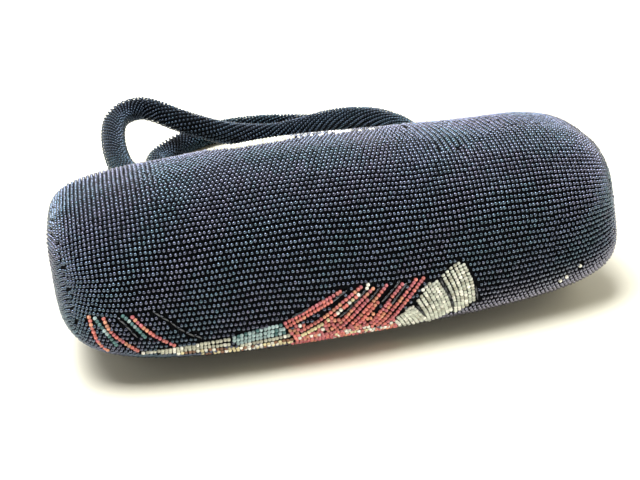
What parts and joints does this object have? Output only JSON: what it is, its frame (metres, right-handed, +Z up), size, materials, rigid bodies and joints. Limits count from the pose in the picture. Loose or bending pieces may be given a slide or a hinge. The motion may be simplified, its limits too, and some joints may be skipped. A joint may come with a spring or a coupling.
{
  "type": "beaded handbag",
  "caption": "Soft handbag covered in dark seed beads, a wide pillow body open at the mouth with rope handles, lying on its front",
  "frame": {"origin": "middle of the footprint of the lying bag and its handles, on the surface it lies on", "axes": "+X along the bag's length, +Y from its bottom to its mouth and out to the handles, +Z up from the table"},
  "size_m": [0.22, 0.3051, 0.0692],
  "materials": {
    "beadwork": "cloth covered in glossy dark blue glass seed beads",
    "bead_rope": "rope of twisted lines of dark blue glass seed beads"
  },
  "bodies": {
    "root": {"bag_body": "beadwork", "handle_back": "bead_rope", "handle_front": "bead_rope"}
  },
  "joints": []
}
